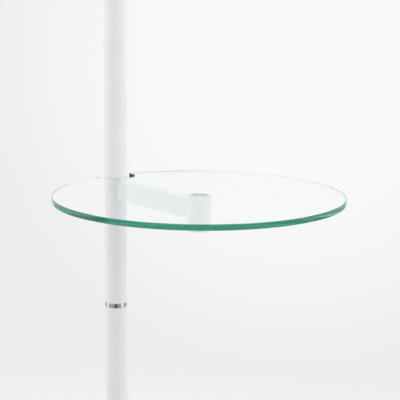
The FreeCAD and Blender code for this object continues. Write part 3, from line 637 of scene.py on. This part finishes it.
def glassGasket():
    low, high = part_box("glass_gasket")
    x = (low.x + high.x) / 2
    outer = (high.x - low.x) / 2
    inner = studShape["discRadius"] + gasketShape["gapRoundDisc"]
    top, ease = high.z - gasketShape["gapUnderGlass"], gasketShape["easing"]
    points = [(inner, low.z), (outer - ease, low.z), (outer, low.z + ease), (outer, top - ease),
              (outer - ease, top), (inner, top), (inner, low.z)]
    bm = bmesh.new()
    turnAround(bm, [(x + r, 0, z) for r, z in points], gasketShape["steps"], (x, 0, 0))
    piece = newPiece("glassGasket", bm, materials["clear_vinyl"])
    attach(piece, "lamp")
    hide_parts("glass_gasket")


glassGasket()
print("glass fixing made")

shadeShape = {"steps": 240, "rows": 24, "rollSteps": 8, "sharpAngle": 60, "cloth": 0.00045, "turnIn": 0.009,
              "wireRadius": 0.002, "wallOverWire": 0.0011,
              "lining": 0.0005, "liningGap": 0.0001, "liningShort": 0.004, "liningCuts": 12,
              "seamWidth": 0.009, "seamSteps": 4, "seamBearing": 180.0,
              "seamLift": 0.9}                              # of the cloth's thickness


def halfRound(middle, radius, start):
    steps = shadeShape["rollSteps"]
    angles = [start + math.pi * step / steps for step in range(steps + 1)]
    return [middle + Vector((math.cos(angle), 0, math.sin(angle))) * radius for angle in angles]


def shadeCloth():
    low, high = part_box("shade_cover")
    footRing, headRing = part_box("shade_lower_ring")[1].x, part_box("shade_upper_ring")[1].x
    # outside of the wall at its foot and at its head
    bottom, top = high.x - shadeShape["cloth"], headRing + shadeShape["wallOverWire"]
    lean = math.atan2(bottom - top, high.z - low.z)
    roll = shadeShape["wireRadius"] + shadeShape["cloth"]
    footWire = Vector((footRing - shadeShape["wireRadius"], 0, low.z + roll))
    headWire = Vector((headRing - shadeShape["wireRadius"], 0, high.z - roll))
    inward = Vector((-math.cos(lean), 0, -math.sin(lean)))
    turnIn = Vector((-math.sin(lean), 0, math.cos(lean))) * shadeShape["turnIn"]
    # up the inside at the foot, round the lower wire, up the wall, over the upper wire and down
    points = [footWire + inward * roll + turnIn, *halfRound(footWire, roll, math.pi)]
    wallFoot, wallHead = points[-1], headWire + Vector((roll, 0, 0))
    points += [wallFoot.lerp(wallHead, step / shadeShape["rows"]) for step in range(1, shadeShape["rows"])]
    points += [*halfRound(headWire, roll, 0), headWire + inward * roll - turnIn]
    bm = bmesh.new()
    turnAround(bm, points, shadeShape["steps"])
    piece = newPiece("shadeCloth", bm, materials["shade_fabric"], shadeShape["sharpAngle"])
    fitClothMap(piece, points)
    thicken(piece, "cloth", shadeShape["cloth"])
    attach(piece, "lamp")
    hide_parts("shade_cover")
    rolled = shadeShape["rollSteps"] + 1
    return piece, points[rolled:-rolled]


def fitClothMap(piece, points):
    # u runs round the shade and v up the cloth, both in metres, at the middle of the wall
    heights = [0.0]
    for first, second in zip(points, points[1:]):
        heights.append(heights[-1] + (second - first).length)
    mesh = piece.data
    layer = mesh.uv_layers.new(name="cloth")
    middle = (points[0].x + points[-1].x) / 2

    def runOf(place):
        flat = Vector((math.hypot(place.x, place.y), 0, place.z))
        nearest = min(range(len(points)), key=lambda i: (points[i] - flat).length_squared)
        return heights[nearest]

    runs = [runOf(vertex.co) for vertex in mesh.vertices]
    turns = [math.atan2(vertex.co.y, vertex.co.x) for vertex in mesh.vertices]
    for face in mesh.polygons:
        first = turns[mesh.loops[face.loop_start].vertex_index]
        for loop in face.loop_indices:
            index = mesh.loops[loop].vertex_index
            turn = turns[index]
            if turn - first > math.pi:
                turn -= math.tau
            elif first - turn > math.pi:
                turn += math.tau
            layer.data[loop].uv = (turn * middle, runs[index])


def shadeLining(wall):
    inset = Vector((-(shadeShape["cloth"] + shadeShape["lining"]) / 2 - shadeShape["liningGap"], 0, 0))
    short = Vector((0, 0, shadeShape["liningShort"]))
    bm = bmesh.new()
    turnAround(bm, [wall[0] + short + inset, wall[-1] - short + inset], shadeShape["steps"])
    long = [edge for edge in bm.edges if edge.calc_length() > (wall[-1] - wall[0]).length / 2]
    bmesh.ops.subdivide_edges(bm, edges=long, cuts=shadeShape["liningCuts"], use_grid_fill=True)
    piece = newPiece("shadeLining", bm, materials["shadeLining"], shadeShape["sharpAngle"])
    thicken(piece, "film", shadeShape["lining"])
    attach(piece, "lamp")


def shadeSeam(wall):
    lapped = [point + Vector((shadeShape["cloth"] * shadeShape["seamLift"], 0, 0)) for point in wall]
    angle = math.degrees(shadeShape["seamWidth"] / lapped[len(lapped) // 2].x)
    bm = bmesh.new()
    turnAround(bm, lapped, shadeShape["seamSteps"], angle=angle)
    turn = Matrix.Rotation(math.radians(shadeShape["seamBearing"]), 3, "Z")
    bmesh.ops.rotate(bm, verts=bm.verts, matrix=turn)
    piece = newPiece("shadeSeam", bm, materials["shade_fabric"], shadeShape["sharpAngle"])
    fitClothMap(piece, lapped)
    thicken(piece, "flap", shadeShape["cloth"])
    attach(piece, "lamp")
    return piece


cloth, clothWall = shadeCloth()
shadeLining(clothWall)
seam = shadeSeam(clothWall)

floorLook = {"radius": 1.2, "steps": 128, "below": 0.0002, "roughness": 0.9, "shine": 0.1,
             "colour": (0.8, 0.8, 0.8), "outer": (0.712, 0.712, 0.712), "outerFrom": 0.32, "outerTo": 0.95,
             "bounce": (0.6, 0.6, 0.6), "fadeFrom": 0.35, "fadeTo": 1.15}


def layFloor():
    bm = bmesh.new()
    bmesh.ops.create_circle(bm, cap_ends=True, radius=floorLook["radius"], segments=floorLook["steps"])
    bmesh.ops.translate(bm, verts=bm.verts, vec=(0, 0, -floorLook["below"]))
    material, tree, shader = principled("studioFloor")
    shader.inputs["Roughness"].default_value = floorLook["roughness"]
    shader.inputs["Specular IOR Level"].default_value = floorLook["shine"]
    far = distance(tree, objectPoint(tree))
    # darker where the lamp no longer shades it, and it throws back less light on the object than it shows
    outer = spread(tree, far, 0, 1, floorLook["outerFrom"], floorLook["outerTo"])
    shown = tint(tree, outer, floorLook["colour"], floorLook["outer"])
    fill(shader.inputs["Base Color"],
         tint(tree, lightPath(tree, "Is Diffuse Ray"), shown, floorLook["bounce"]))
    fade = spread(tree, far, 0, 1, floorLook["fadeFrom"], floorLook["fadeTo"], smooth=True)
    clear = addNode(tree, "BsdfTransparent").outputs[0]
    fill(tree.nodes["Material Output"].inputs["Surface"],
         mixShaders(tree, fade, shader.outputs[0], clear))
    floor = newPiece("floor", bm, material)


layFloor()
print("floor laid")
